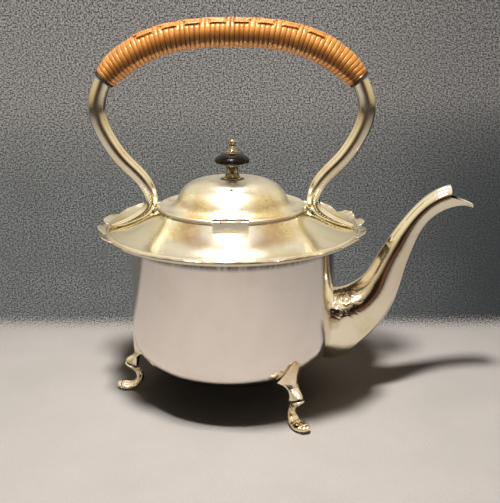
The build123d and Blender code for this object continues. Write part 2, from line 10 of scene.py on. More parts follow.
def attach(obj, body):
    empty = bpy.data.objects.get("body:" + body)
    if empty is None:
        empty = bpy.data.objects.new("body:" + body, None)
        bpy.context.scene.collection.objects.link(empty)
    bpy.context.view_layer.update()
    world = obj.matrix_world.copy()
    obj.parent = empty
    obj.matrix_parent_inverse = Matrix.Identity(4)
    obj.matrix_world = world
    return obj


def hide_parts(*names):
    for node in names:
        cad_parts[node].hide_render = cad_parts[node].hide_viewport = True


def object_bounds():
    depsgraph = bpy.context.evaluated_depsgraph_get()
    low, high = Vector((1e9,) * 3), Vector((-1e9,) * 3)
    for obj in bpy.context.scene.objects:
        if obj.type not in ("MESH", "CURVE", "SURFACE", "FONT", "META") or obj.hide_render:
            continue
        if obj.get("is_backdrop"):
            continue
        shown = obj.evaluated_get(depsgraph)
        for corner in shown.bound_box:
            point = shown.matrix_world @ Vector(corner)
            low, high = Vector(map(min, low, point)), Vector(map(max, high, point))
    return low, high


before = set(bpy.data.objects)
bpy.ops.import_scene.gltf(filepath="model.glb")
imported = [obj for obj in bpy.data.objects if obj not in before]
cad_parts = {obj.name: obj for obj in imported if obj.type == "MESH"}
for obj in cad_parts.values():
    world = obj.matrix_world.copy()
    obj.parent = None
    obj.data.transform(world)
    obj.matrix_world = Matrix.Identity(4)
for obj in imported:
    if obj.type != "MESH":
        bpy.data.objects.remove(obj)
cad_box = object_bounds()
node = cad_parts
axis_x = -0.03165  # the middle of the bowl, the shoulder and the lid


# Bowl. Raised from one sheet of metal, spun true on its sides, silver plated and polished, with
# fine scratches round it from years of wiping. A dark band, streaked like the scratches, is
# painted under the rim as shade, and the wall is painted dark where it turns under, as the shade
# of the floor beneath that it mirrors.
def metres(tree, stretch=(1, 1, 1)):
    """Where a point is on the piece, in metres, stretched along each axis."""
    place = tree.nodes.new("ShaderNodeTexCoord")
    scale = tree.nodes.new("ShaderNodeVectorMath")
    scale.operation = "MULTIPLY"
    scale.inputs[1].default_value = stretch
    tree.links.new(place.outputs["Object"], scale.inputs[0])
    return scale.outputs[0]


def apart(tree, where):
    """The X, Y and Z of a place, each on its own."""
    split = tree.nodes.new("ShaderNodeSeparateXYZ")
    tree.links.new(where, split.inputs[0])
    return split.outputs


def mottle(tree, where, scale, detail=4.0, rough=0.6, bend=0.0):
    """Soft patches of 0 to 1, that many to the metre."""
    noise = tree.nodes.new("ShaderNodeTexNoise")
    noise.inputs["Scale"].default_value = scale
    noise.inputs["Detail"].default_value = detail
    noise.inputs["Roughness"].default_value = rough
    noise.inputs["Distortion"].default_value = bend
    tree.links.new(where, noise.inputs["Vector"])
    return noise.outputs["Fac"]


def spread(tree, value, low, high, to_low, to_high, soft=False):
    """value between low and high, stretched to between to_low and to_high."""
    fit = tree.nodes.new("ShaderNodeMapRange")
    fit.interpolation_type = "SMOOTHSTEP" if soft else "LINEAR"
    fit.inputs["From Min"].default_value = low
    fit.inputs["From Max"].default_value = high
    fit.inputs["To Min"].default_value = to_low
    fit.inputs["To Max"].default_value = to_high
    tree.links.new(value, fit.inputs["Value"])
    return fit.outputs["Result"]


def combine(tree, first, second, how="MULTIPLY"):
    """The two values multiplied, or put together another way."""
    sum_node = tree.nodes.new("ShaderNodeMath")
    sum_node.operation = how
    for value, socket in zip((first, second), sum_node.inputs):
        if isinstance(value, (int, float)):
            socket.default_value = value
        else:
            tree.links.new(value, socket)
    return sum_node.outputs[0]


def near(tree, where, centre, reach, fade):
    """1 within reach of a point, falling to 0 over fade."""
    away = tree.nodes.new("ShaderNodeVectorMath")
    away.operation = "DISTANCE"
    away.inputs[1].default_value = centre
    tree.links.new(where, away.inputs[0])
    return spread(tree, away.outputs["Value"], reach, reach + fade, 1.0, 0.0, True)


def tint(tree, amount, clean, stain_and_shade):
    """The clean colour where amount is 0, and the laid-on one where it is 1: a stain in some
    places, painted light and shade in others.
    """
    mix = tree.nodes.new("ShaderNodeMix")
    mix.data_type = "RGBA"
    for colour, socket in ((clean, mix.inputs["A"]), (stain_and_shade, mix.inputs["B"])):
        if isinstance(colour, tuple):
            socket.default_value = (*colour, 1)
        else:
            tree.links.new(colour, socket)
    tree.links.new(amount, mix.inputs["Factor"])
    return mix.outputs["Result"]


def paint_shade(made, amount, colour):
    """Lays painted shade over a finish's colour, as strong as amount."""
    tree = made.node_tree
    base = tree.nodes["Principled BSDF"].inputs["Base Color"]
    tree.links.new(tint(tree, amount, base.links[0].from_socket, colour), base)


def relief(tree, height, deep, under=None):
    """Bumps that deep in metres, on top of the bumps under them."""
    bump = tree.nodes.new("ShaderNodeBump")
    bump.inputs["Strength"].default_value = 1.0
    bump.inputs["Distance"].default_value = deep
    tree.links.new(height, bump.inputs["Height"])
    if under is not None:
        tree.links.new(under, bump.inputs["Normal"])
    return bump.outputs["Normal"]


def new_finish(name, metallic, shine=0.5, varnish=0.0):
    """A material, its node tree and its shader."""
    made = bpy.data.materials.new(name)
    made.use_nodes = True
    shader = made.node_tree.nodes["Principled BSDF"]
    shader.inputs["Metallic"].default_value = metallic
    shader.inputs["Specular IOR Level"].default_value = shine
    shader.inputs["Coat Weight"].default_value = varnish
    return made, made.node_tree, shader


def silver(name, clean, tarnished, smooth, dull, waves, scratches, brush=(1, 1, 14), spots=(),
           spot_colour=(0.42, 0.29, 0.12)):
    """Silver plate, from a mirror at smooth to satin at dull, with a colour laid round the spots:
    tarnish on some pieces, painted shade on others, and a painted reflection on the lid.
    """
    made, tree, shader = new_finish(name, 1.0)
    where = metres(tree)
    cloudy = spread(tree, mottle(tree, where, 38, 5, 0.62, 0.4), 0.50, 0.74, 0.0, 1.0)
    colour = tint(tree, cloudy, clean, tarnished)
    smudge = mottle(tree, metres(tree, (1, 1, 2.2)), 90, 6, 0.7, 0.8)
    polish = spread(tree, smudge, 0.35, 0.75, smooth, dull)
    fleck = mottle(tree, metres(tree, (1, 1, 2)), 420, 5, 0.75, 1.2)
    fleck = spread(tree, fleck, 0.36, 0.6, 0.25, 1.0)
    for centre, reach, fade in spots:
        amount = combine(tree, near(tree, where, centre, reach, fade), fleck)
        colour = tint(tree, amount, colour, spot_colour)
        polish = combine(tree, polish, combine(tree, amount, 0.16), "ADD")
    tree.links.new(colour, shader.inputs["Base Color"])
    tree.links.new(polish, shader.inputs["Roughness"])
    wavy = relief(tree, mottle(tree, where, 42, 1.5, 0.4), waves)
    lines = mottle(tree, metres(tree, brush), 420, 3, 0.8)
    hairs = relief(tree, spread(tree, lines, 0.42, 0.62, 0, 1), scratches, wavy)
    crossed = mottle(tree, metres(tree, (6, 6, 1)), 700, 2, 0.7)
    fine = relief(tree, spread(tree, crossed, 0.46, 0.6, 0, 1), scratches * 0.6, hairs)
    tree.links.new(fine, shader.inputs["Normal"])
    return made


def dress(names, made):
    """The material goes on these CAD nodes."""
    for name in names:
        node[name].data.materials.clear()
        node[name].data.materials.append(made)


bowl_silver = silver(
    "bowl_silver", (0.90, 0.83, 0.775), (0.84, 0.75, 0.65), 0.04, 0.09, 0.0001, 0.000003
)
tree = bowl_silver.node_tree
height = apart(tree, metres(tree))["Z"]
# Painted shade: the wall is painted dark where it turns under, for the shadowed floor it mirrors.
shade_below, unshaded_above = 0.0270, 0.0345
painted_turn_shade = spread(tree, height, shade_below, unshaded_above, 1, 0, True)
paint_shade(bowl_silver, painted_turn_shade, (0.13, 0.125, 0.105))
# Painted shade: a dark band, streaked like the scratches, just under the rim.
drawn = mottle(tree, metres(tree, (1, 1, 0.06)), 900, 3, 0.7)
painted_rim_shade = combine(
    tree,
    spread(tree, height, 0.1005, 0.1040, 0, 1, True),
    spread(tree, drawn, 0.32, 0.6, 0.55, 1),
)
paint_shade(bowl_silver, painted_rim_shade, (0.17, 0.155, 0.14))
dress(["bowl"], bowl_silver)


# Feet. Each has two parts: a knee stamped from sheet, hollow behind, that spreads up the bowl as
# a shield, and a cast C-scroll that ends in a padded toe. The knee's rim sits on the scroll's
# oval ankle, with a near-black ring put in the gap between them as painted shade, and both are
# silver soldered and plated.
def new_piece(name, form, made, body, crease=None):
    """A mesh piece with its material, that rides on a body."""
    mesh = bpy.data.meshes.new(name)
    bmesh.ops.recalc_face_normals(form, faces=form.faces)
    form.to_mesh(mesh)
    form.free()
    mesh.polygons.foreach_set("use_smooth", [True] * len(mesh.polygons))
    if crease is not None:
        mesh.set_sharp_from_angle(angle=math.radians(crease))
    mesh.materials.append(made)
    piece = bpy.data.objects.new(name, mesh)
    bpy.context.scene.collection.objects.link(piece)
    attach(piece, body)
    return piece


def skin(form, rings, looped=False):
    """Faces between rings of points, each ring closed on itself, and caps on the two ends."""
    rows = [[form.verts.new(point) for point in ring] for ring in rings]
    for row, after in zip(rows, rows[1:] + ([rows[0]] if looped else [])):
        for i in range(len(row)):
            j = (i + 1) % len(row)
            form.faces.new((row[i], row[j], after[j], after[i]))
    if not looped:
        form.faces.new(rows[0])
        form.faces.new(rows[-1])
    return rows


def smooth_run(stations, steps):
    """Stations on the smooth line through these, that many between each two of them."""
    points = np.array(stations, float)
    gaps = np.linalg.norm(np.diff(points[:, :2], axis=0), axis=1)
    count = len(points)
    system = np.eye(count)
    wanted = np.zeros_like(points)
    for i in range(1, count - 1):
        system[i, i - 1 : i + 2] = gaps[i - 1], 2 * (gaps[i - 1] + gaps[i]), gaps[i]
        rise = (points[i + 1] - points[i]) / gaps[i] - (points[i] - points[i - 1]) / gaps[i - 1]
        wanted[i] = 6 * rise
    bend = np.linalg.solve(system, wanted)
    made = []
    for i in range(count - 1):
        for k in range(steps + (i == count - 2)):
            t, h = k / steps, gaps[i]
            a, b = 1 - t, t
            curve = ((a**3 - a) * bend[i] + (b**3 - b) * bend[i + 1]) * h * h / 6
            made.append(a * points[i] + b * points[i + 1] + curve)
    return np.array(made)


foot_silver = silver(
    "foot_silver", (0.95, 0.84, 0.64), (0.70, 0.50, 0.25), 0.08, 0.17, 0.0003, 0.00001
)
tree = foot_silver.node_tree
height = apart(tree, metres(tree))["Z"]
# Painted shade: the inside of each hollow knee and the inner side of each scroll go near-black.
out_from = tree.nodes.new("ShaderNodeVectorMath")
out_from.operation = "DISTANCE"
out_from.inputs[1].default_value = (axis_x, 0, 0)
tree.links.new(metres(tree, (1, 1, 0)), out_from.inputs[0])
shade_limit = combine(
    tree,
    spread(tree, height, 0.0245, 0.0285, 0.0636, 0.0565),
    spread(tree, height, 0.0165, 0.0180, -0.0030, 0),
    "ADD",
)
behind = combine(tree, out_from.outputs["Value"], shade_limit, "SUBTRACT")
paint_shade(foot_silver, spread(tree, behind, -0.0005, 0.0005, 1, 0), (0.02, 0.015, 0.01))
# A knee's rings from the top down, in mm: height, ridge, half width, wing's edge and inside; then
# how flat its flanks are, and how far the ring leans up to its outer side.
knee_rings = (
    (41.8, 65.35, 0.8, 65.0, 64.2, 0.2, 0.0),
    (40.8, 65.7, 2.9, 64.85, 63.6, 0.5, 0.0),
    (38.2, 65.75, 4.5, 64.1, 62.8, 0.8, 0.0),
    (34.6, 65.6, 5.8, 62.4, 61.2, 0.9, 0.0),
    (31.0, 65.5, 7.0, 60.0, 58.8, 0.9, 0.0),
    (28.1, 65.5, 8.1, 57.6, 56.3, 0.9, 0.0),
    (27.5, 65.55, 6.8, 59.3, 57.8, 0.88, 0.02),
    (26.6, 65.75, 5.4, 61.1, 59.2, 0.8, 0.04),
    (25.2, 66.2, 4.5, 62.5, 60.6, 0.6, 0.08),
    (23.8, 67.2, 4.05, 63.3, 61.4, 0.35, 0.12),
    (22.4, 68.6, 3.85, 63.8, 62.0, 0.1, 0.16),
    (20.4, 70.1, 3.95, 64.0, 62.3, 0.0, 0.27),
    (18.7, 71.0, 4.15, 64.2, 62.6, 0.0, 0.33),
    (18.0, 71.2, 4.3, 64.2, 62.7, 0.0, 0.34),
    (17.8, 70.7, 3.8, 64.4, 63.0, 0.0, 0.34),
)
# The scroll from the ankle to the toe, in mm: reach, height, half width and half depth.
scroll_line = (
    (66.9, 17.0, 2.4, 2.6),
    (64.7, 15.0, 1.7, 2.4),
    (62.8, 12.2, 1.7, 2.4),
    (62.0, 9.0, 2.7, 2.4),
    (63.0, 5.7, 3.6, 2.4),
    (66.0, 3.3, 4.4, 2.4),
    (69.8, 2.3, 4.8, 2.4),
    (73.0, 2.7, 4.6, 2.3),
    (75.2, 3.0, 3.8, 2.0),
    (76.6, 3.2, 2.6, 1.6),
    (77.6, 3.2, 0.8, 0.6),
)
knee_table = np.array([(k, *row) for k, row in enumerate(knee_rings)])
knee_last = len(knee_rings) - 1
knee_steps = [k + part / 8 for k in range(knee_last) for part in range(8)] + [knee_last]
ankle_r, ankle_z, ankle_lean = 67.2, 17.75, math.radians(20)
ankle_collar = (
    (-2.0, 0.35),
    (-1.85, 0.72),
    (-1.4, 0.95),
    (-0.8, 1.05),
    (-0.3, 1.05),
    (0.05, 0.95),
    (0.12, 0.6),
)
ankle_gap = ((-0.2, 0.84), (0.1, 0.9), (1.3, 0.88), (1.7, 0.7))


def bell(value, middle, wide):
    """1 in the middle, falling away smoothly on both sides."""
    return math.exp(-(((value - middle) / wide) ** 2))


def ankle_ring(on_foot, rise, half_r, half_w, count):
    """An oval ring square to the leaning ankle, that far up it."""
    ring = []
    for k in range(count):
        turn = 2 * math.pi * k / count
        off = half_r * math.cos(turn)
        r = ankle_r + off * math.cos(ankle_lean) - rise * math.sin(ankle_lean)
        z = ankle_z + off * math.sin(ankle_lean) + rise * math.cos(ankle_lean)
        ring.append(on_foot(r, half_w * math.sin(turn), z))
    return ring


# A mottled near-black, for the ring of painted shade in the gap at each ankle.
gap_shade_black, tree, shader = new_finish("gap_shade_black", 0.0, 0.2)
black_mottle = mottle(tree, metres(tree), 900, 3)
mottled_black = tint(tree, black_mottle, (0.006, 0.005, 0.004), (0.03, 0.022, 0.014))
tree.links.new(mottled_black, shader.inputs["Base Color"])
shader.inputs["Roughness"].default_value = 0.7
for side_name, heading in (("left", 180.0), ("front", -54.3), ("back", 54.3)):
    aim = math.radians(heading)
    out = Vector((math.cos(aim), math.sin(aim), 0))
    across = Vector((-out.y, out.x, 0))

    def on_foot(r, w, z):
        """A point by its distance out from the bowl's middle, its distance across, and height."""
        return Vector((axis_x, 0, 0)) + (out * r + across * w + Vector((0, 0, z))) / 1000

    form = bmesh.new()
    rings = []
    for at in knee_steps:
        z, ridge, half, edge, inside, flat, lean = (
            np.interp(at, knee_table[:, 0], knee_table[:, i]) for i in range(1, 8)
        )
        ring = []
        for k in range(37):
            u = math.sin(math.radians(-90 + 5 * k))
            bulge = (1 - flat) * math.sqrt(max(0, 1 - u * u)) + flat * (1 - abs(u) ** 1.25)
            r, w = edge + (ridge - edge) * bulge, half * u
            up = z + lean * (r - edge)
            dimple = bell(w, 0, 1.1) * bell(up, 25.7, 1.7)
            flutes = bell(abs(w), 1.3, 0.5) * min(1, max(0, 24.8 - up)) * min(1, max(0, up - 21))
            ring.append(on_foot(r - 1.3 * dimple - 0.4 * flutes, w, up))
        for k in range(25):
            u = math.sin(math.radians(90 - 7.5 * k))
            back = edge - 0.45 * flat - (edge - inside) * math.sqrt(max(0, 1 - u * u))
            ring.append(on_foot(back, half * u * (1 - 0.04 * flat), z + lean * (back - edge)))
        rings.append(ring)
    skin(form, rings)
    knee = new_piece("knee_" + side_name, form, foot_silver, "kettle", crease=48)
    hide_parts("foot_knee_" + side_name)

    form = bmesh.new()
    rings = []
    run = smooth_run(scroll_line, 12)
    for i, (r, z, half, deep) in enumerate(run):
        ahead = run[min(i + 1, len(run) - 1)][:2] - run[max(i - 1, 0)][:2]
        ahead = ahead / np.linalg.norm(ahead)
        up_r, up_z = -ahead[1], ahead[0]
        ring = []
        for k in range(40):
            turn = math.radians(9 * k)
            rise, wide = math.cos(turn), math.sin(turn)
            pad = min(1.0, max(0.0, (i - 58) / 12)) * min(1.0, (len(run) - 1 - i) / 6)
            grow = 1.0 - 0.34 * pad * bell(wide, 0, 0.16)
            grow -= 0.13 * (bell(z, 13.4, 0.35) + bell(z, 11.9, 0.35))
            if i > 48:
                grow -= 0.14 * bell(r, 65.4, 0.7) * (rise > 0)
                grow -= 0.2 * bell(r, 74.2, 0.5) * (rise > -0.5)
            off = deep * rise * grow
            ring.append(on_foot(r + up_r * off, half * wide * grow, max(0.0, z + up_z * off)))
        rings.append(ring)
    skin(form, rings)
    skin(form, [ankle_ring(on_foot, rise, 4.35 * g, 3.95 * g, 40) for rise, g in ankle_collar])
    scroll = new_piece("scroll_" + side_name, form, foot_silver, "kettle", crease=70)
    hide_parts("foot_scroll_" + side_name)

    # Painted shade: a near-black ring in the gap between the knee and the ankle.
    form = bmesh.new()
    skin(form, [ankle_ring(on_foot, rise, 4.2 * g, 3.9 * g, 32) for rise, g in ankle_gap])
    new_piece("ankle_gap_shade_" + side_name, form, gap_shade_black, "kettle")

# Shoulder and mouth collar. A dished ring of the same sheet is soldered over the bowl's rim, with
# a short turned tube let into its middle for the lid. Gold patches are laid on the shoulder on
# both sides of the hinge, and the tube is painted dark as the shade under the lid's rim.
shoulder_silver = silver(
    "shoulder_silver", (0.95, 0.89, 0.72), (0.86, 0.75, 0.50), 0.08, 0.17, 0.00015, 0.000007,
    spots=(
        ((axis_x - 0.027, -0.044, 0.1205), 0.005, 0.009),
        ((axis_x + 0.027, -0.042, 0.1205), 0.007, 0.010),
    ), spot_colour=(0.78, 0.60, 0.26),
)
dress(["shoulder"], shoulder_silver)
# Painted shade: the tube is dark for the shade under the lid's overhanging rim.
collar_shade_silver = silver(
    "collar_shade_silver", (0.40, 0.33, 0.24), (0.12, 0.09, 0.06), 0.2, 0.35, 0.0001, 0.00001
)
dress(["mouth_collar"], collar_shade_silver)

# Leaf border. Cast in one ring, its leaves chased by hand, no two alike, and soldered on the
# shoulder. A bright rolled bead runs inside it; each leaf's tip is thin and turns up a little.
border_silver = silver(
    "border_silver", (0.95, 0.87, 0.70), (0.82, 0.68, 0.44), 0.10, 0.2, 0.0002, 0.000008
)
bead_at = 0.0764
# Each leaf: the angle in degrees and the reach in mm where it starts, and the same at its tip.
round_leaves = (
    (14.0, 82.0, 23.0, 84.9),
    (30.0, 81.0, 45.0, 85.0),
    (62.0, 80.5, 77.0, 84.6),
    (92.0, 80.5, 106.5, 84.6),
    (121.0, 80.5, 139.0, 85.0),
    (209.0, 80.0, 220.0, 82.6),
    (232.0, 79.2, 245.5, 81.2),
    (259.0, 79.2, 273.0, 80.8),
    (287.5, 79.5, 298.0, 81.8),
    (307.0, 81.6, 313.5, 84.4),
)
pointed_leaves = (
    (1.0, 81.0, 4.5, 84.4),
    (158.0, 82.6, 171.5, 84.4),
    (176.5, 80.3, 185.0, 84.4),
    (194.0, 79.9, 204.0, 84.5),
    (319.5, 83.0, 331.5, 84.8),
    (339.0, 80.3, 346.0, 83.9),
)
leaves = sorted(round_leaves + pointed_leaves)


def leaf_at(angle):
    """At an angle in degrees: the edge's reach, how far across the leaf and up to its tip that
    is, from 0 to 1, and whether the leaf is a round one."""
    angle = (angle - leaves[0][0]) % 360 + leaves[0][0]
    for leaf, after in zip(leaves, leaves[1:] + [leaves[0]]):
        start, start_r, tip, tip_r = leaf
        end = after[0] + (360 if after[0] < start else 0)
        if start <= angle <= end:
            break
    rising = angle <= tip
    along = (angle - start) / (tip - start) if rising else (end - angle) / (end - tip)
    foot_r = start_r if rising else after[1]
    if leaf in round_leaves:
        reach = foot_r + (tip_r - foot_r) * (1 - (1 - along) ** 2)
    else:
        reach = foot_r + (tip_r - foot_r) * along + 3.2 * along * (1 - along)
    return reach / 1000, (angle - start) / (end - start), along, leaf in round_leaves


def border_height(r, angle):
    """The border's top at a radius and an angle."""
    reach, across, along, is_round = leaf_at(angle)
    out = max(0.0, (r - bead_at - 0.0018) / (reach - bead_at - 0.0018))
    out = min(out, 1.0)
    r_mm = r * 1000
    cove = 111.8 + 0.12 * max(0, r_mm - 78.2) + 0.0395 * max(0, r_mm - 78.2) ** 2
    veins = math.cos(across * math.pi * (8 if is_round else 6)) * 0.16 * out
    rib = 0.34 * math.exp(-(((across - 0.5) * (5 if is_round else 8)) ** 2)) * out
    notch = -0.5 * math.exp(-((along * 7) ** 2)) * out
    bead = 0.95 * math.sqrt(max(0, 1 - ((r_mm - 77.35) / 1.0) ** 2))
    return (cove + veins + rib + notch + bead - 0.25 * out) / 1000


form = bmesh.new()
rings = []
bead_steps = [bead_at + 0.00001 + 0.00019 * i for i in range(11)]
for step in range(1080):
    angle = step / 3
    reach = leaf_at(angle)[0]
    around = Vector((math.cos(math.radians(angle)), math.sin(math.radians(angle)), 0))
    centre = Vector((axis_x, 0, 0))
    radii = bead_steps + [
        bead_steps[-1] + (reach - bead_steps[-1]) * t for t in (0.12, 0.28, 0.45, 0.62, 0.78, 0.92)
    ]
    radii = [r - 0.0001 * (r - bead_at) / (reach - bead_at) for r in radii]
    top = [centre + around * r + Vector((0, 0, border_height(r, angle))) for r in radii]
    edge = border_height(reach, angle)
    lip = centre + around * (reach - 0.0001) + Vector((0, 0, edge - 0.00025))
    under = [point - Vector((0, 0, 0.0006)) for point in top[:10:-1]]
    root = [centre + around * (bead_at + 0.002) + Vector((0, 0, 0.1105))]
    root += [centre + around * bead_at + Vector((0, 0, 0.1103))]
    rings.append(top + [lip] + under + root)
skin(form, rings, looped=True)
border = new_piece("border_leaves", form, border_silver, "kettle")
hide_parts("leaf_border")

# Spout. A swan neck raised in two halves and seamed, let over a hole in the bowl, with a hood
# at its tip that shades the open lip. Tarnish stays in the crease where it meets the bowl.
spout_silver = silver(
    "spout_silver", (0.97, 0.89, 0.70), (0.86, 0.71, 0.44), 0.04, 0.10, 0.0002, 0.000002,
    spots=(
        ((axis_x + 0.064, -0.006, 0.079), 0.004, 0.008),
        ((axis_x + 0.064, -0.012, 0.052), 0.001, 0.006),
    ),
)
tree = spout_silver.node_tree
shader = tree.nodes["Principled BSDF"]
place = apart(tree, metres(tree))
# Painted shade: inside the mouth, under the hood, is painted near-black.
middle = spread(tree, place["X"], axis_x + 0.1317, axis_x + 0.1415, 0.1295, 0.1319)
above = combine(tree, combine(tree, place["Z"], middle, "SUBTRACT"), 1 / 0.0066)
beside = combine(tree, place["Y"], 1 / 0.0060)
off_middle = combine(tree, combine(tree, above, above), combine(tree, beside, beside), "ADD")
inside = combine(
    tree,
    spread(tree, off_middle, 0.97, 1.03, 1, 0),
    combine(
        tree,
        spread(tree, place["X"], axis_x + 0.1342, axis_x + 0.1350, 0, 1),
        spread(tree, place["X"], axis_x + 0.141, axis_x + 0.147, 1, 0),
    ),
)
paint_shade(spout_silver, inside, (0.02, 0.014, 0.008))
crinkle = mottle(tree, metres(tree), 170, 2, 0.5, 1.0)
root = near(tree, metres(tree), (axis_x + 0.069, -0.010, 0.064), 0.005, 0.012)
old = shader.inputs["Normal"].links[0].from_socket
tree.links.new(relief(tree, combine(tree, crinkle, root), 0.0008, old), shader.inputs["Normal"])
dress(["spout"], spout_silver)

# Handle arms. Two tapering S-shaped castings. Each one's foot flattens into a tail, fluted down
# its length by the chaser, and is soldered down across the shoulder to the border; between
# their heads a plain bar runs through the grip.
arm_silver = silver(
    "arm_silver", (0.97, 0.89, 0.69), (0.84, 0.68, 0.41), 0.06, 0.14, 0.0003, 0.000006,
    # Painted shade: near-black spots in the gap between each arm's bend and the mouth collar.
    spots=(
        ((axis_x - 0.0487, -0.0032, 0.1212), 0.0012, 0.0014),
        ((axis_x + 0.0495, -0.0036, 0.1200), 0.0016, 0.0018),
    ), spot_colour=(0.02, 0.015, 0.01),
)
dress(["grip_bar"], arm_silver)
# An arm from its head to the end of its tail, in mm: reach, height, half width and half depth.
arm_line = (
    (77.0, 201.6, 5.2, 5.2),
    (81.7, 185.0, 5.4, 5.4),
    (76.6, 168.0, 5.2, 5.2),
    (67.2, 154.0, 5.0, 5.0),
    (57.4, 143.8, 4.8, 4.8),
    (51.6, 134.6, 4.5, 4.5),
    (50.7, 127.6, 4.0, 4.0),
    (53.8, 121.6, 4.1, 3.7),
    (60.8, 117.2, 4.3, 2.8),
    (69.4, 113.6, 3.6, 2.0),
    (76.0, 112.1, 1.4, 0.9),
)
for side_name, way in (("left", -1), ("right", 1)):
    form = bmesh.new()
    rings = []
    run = smooth_run(arm_line, 16)
    for i, (x, z, half, deep) in enumerate(run):
        ahead = run[min(i + 1, len(run) - 1)][:2] - run[max(i - 1, 0)][:2]
        ahead = ahead / np.linalg.norm(ahead)
        up_x, up_z = -ahead[1], ahead[0]
        fluted = min(1.0, max(0.0, (i - 92) / 30)) * min(1.0, (len(run) - 1 - i) / 12)
        ring = []
        for k in range(64):
            turn = 2 * math.pi * k / 64
            rise, wide = math.cos(turn), math.sin(turn)
            groove = bell(abs(wide), 0.52, 0.13) * (rise > 0)
            ridge = bell(wide, 0, 0.22) * (rise > 0)
            grow = 1 - 0.16 * fluted * groove + 0.05 * fluted * ridge
            off = deep * rise * grow
            out_mm, up_mm = x + up_x * off, z + up_z * off
            over_mm = half * wide * grow
            ring.append(Vector((axis_x + way * out_mm / 1000, over_mm / 1000, up_mm / 1000)))
        rings.append(ring)
    skin(form, rings)
    arm = new_piece("arm_" + side_name, form, arm_silver, "kettle", crease=75)
    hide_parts("handle_arm_" + side_name)

# Cane grip. Split cane, flat behind and glossy in front, is wound tight round the bar, edge to
# edge. A band of thinner strips is laid along the top: each one passes over some turns and
# under the next, to lock them.
cane, tree, shader = new_finish("cane", 0.0, 0.8, 0.12)
shader.inputs["Specular Tint"].default_value = (1.0, 0.72, 0.38, 1)
where = metres(tree)
each_turn = mottle(tree, metres(tree, (1, 0.05, 0.25)), 330, 2, 0.6)
each_turn = spread(tree, each_turn, 0.34, 0.66, 0, 1)
aged = spread(tree, mottle(tree, where, 60, 4, 0.6), 0.45, 0.75, 0, 1)
colour = tint(tree, each_turn, (0.52, 0.19, 0.04), (0.76, 0.34, 0.075))
colour = tint(tree, aged, colour, (0.42, 0.15, 0.035))
place = apart(tree, where)
along = combine(tree, place["X"], axis_x, "SUBTRACT")
along = combine(tree, along, along)
steeper = combine(tree, combine(tree, along, along), -390.0)
arch = combine(tree, combine(tree, along, -2.4), steeper, "ADD")
height = combine(tree, combine(tree, place["Z"], arch, "SUBTRACT"), 0.2292, "SUBTRACT")
# Painted shade: a dark band along the lower middle of the grip.
painted_shade_band = combine(
    tree,
    spread(tree, height, -0.0062, -0.0046, 0, 1, True),
    spread(tree, height, -0.0034, 0.0040, 0.92, 0, True),
)
colour = tint(tree, painted_shade_band, colour, (0.13, 0.032, 0.008))
# Painted light: a paler band along the grip's bottom, for light from the floor below.
painted_floor_light = spread(tree, height, -0.0066, -0.0050, 0.6, 0, True)
colour = tint(tree, painted_floor_light, colour, (0.78, 0.38, 0.17))
fibre = mottle(tree, metres(tree, (2.4, 0.5, 0.5)), 1500, 3, 0.7)
colour = tint(tree, spread(tree, fibre, 0.52, 0.72, 0, 0.5), colour, (0.20, 0.07, 0.02))
tree.links.new(colour, shader.inputs["Base Color"])
tree.links.new(spread(tree, fibre, 0.3, 0.7, 0.2, 0.36), shader.inputs["Roughness"])
shader.inputs["Coat Roughness"].default_value = 0.16
tree.links.new(relief(tree, fibre, 0.00006), shader.inputs["Normal"])
# The grip's middle line from left to right, in mm: sideways, height and radius.
grip_stations = (
    (-77, 201.6, 6.6),
    (-70.5, 208.3, 8.2),
    (-60, 216.2, 8.8),
    (-42, 224.4, 8.6),
    (-22, 228.3, 8.4),
    (0, 229.2, 8.4),
    (22, 228.3, 8.4),
    (42, 224.4, 8.6),
    (60, 216.2, 8.8),
    (70.5, 208.3, 8.2),
    (77, 201.6, 6.6),
)
grip_run = smooth_run(grip_stations, 40) / 1000
grip_steps = np.linalg.norm(np.diff(grip_run[:, :2], axis=0), axis=1)
grip_at = np.concatenate([[0], np.cumsum(grip_steps)])
grip_long = float(grip_at[-1])
binding_wide = 0.0022


def on_grip(s, round_it, lift):
    """A point at a distance along the grip, at an angle round it from its top, off its skin."""
    s = min(max(s, 0.0), grip_long)
    x, z, r = (float(np.interp(s, grip_at, grip_run[:, i])) for i in (0, 1, 2))
    back, ahead = max(0, s - 0.001), min(grip_long, s + 0.001)
    run_x, run_z = (
        float(np.interp(ahead, grip_at, grip_run[:, i]) - np.interp(back, grip_at, grip_run[:, i]))
        for i in (0, 1)
    )
    size = math.hypot(run_x, run_z)
    rise, wide = math.cos(round_it) * (r + lift), math.sin(round_it) * (r + lift)
    return Vector((axis_x + x - run_z / size * rise, wide, z + run_x / size * rise))


def step_up(value, low, high):
    """0 below low, 1 above high, and a smooth rise between."""
    t = min(max((value - low) / (high - low), 0.0), 1.0)
    return t * t * (3 - 2 * t)


chance = random.Random(4)
turn_edges = [binding_wide]
while turn_edges[-1] < grip_long - binding_wide:
    turn_edges.append(turn_edges[-1] + chance.uniform(0.0025, 0.0033))
stretched = (grip_long - 2 * binding_wide) / (turn_edges[-1] - binding_wide)
turn_edges = [binding_wide + (edge - binding_wide) * stretched for edge in turn_edges]
turns = len(turn_edges) - 1
strip_from, strip_to = (float(np.interp(x, grip_run[:, 0], grip_at)) for x in (-0.056, 0.061))
lane_step = 0.00275
lanes = [
    (lane, strip_from + 0.0016 * abs(lane) + chance.uniform(0, 0.001)) for lane in (-2, -1, 0, 1, 2)
]
spans = {}
for lane, first in lanes:
    spans[lane] = []
    at = first
    while at < strip_to - 0.006:
        end = min(at + chance.uniform(0.0082, 0.0098), strip_to - 0.0012 * abs(lane))
        spans[lane].append((at, end))
        at = end + chance.uniform(0.0046, 0.0056)


def strip_over(s, lane):
    """1 where a lane's strip lies over the turns, and 0 where it is under them."""
    return max(
        step_up(s, a - 0.0010, a + 0.0008) * (1 - step_up(s, b - 0.0008, b + 0.0010))
        for a, b in spans[lane]
    )


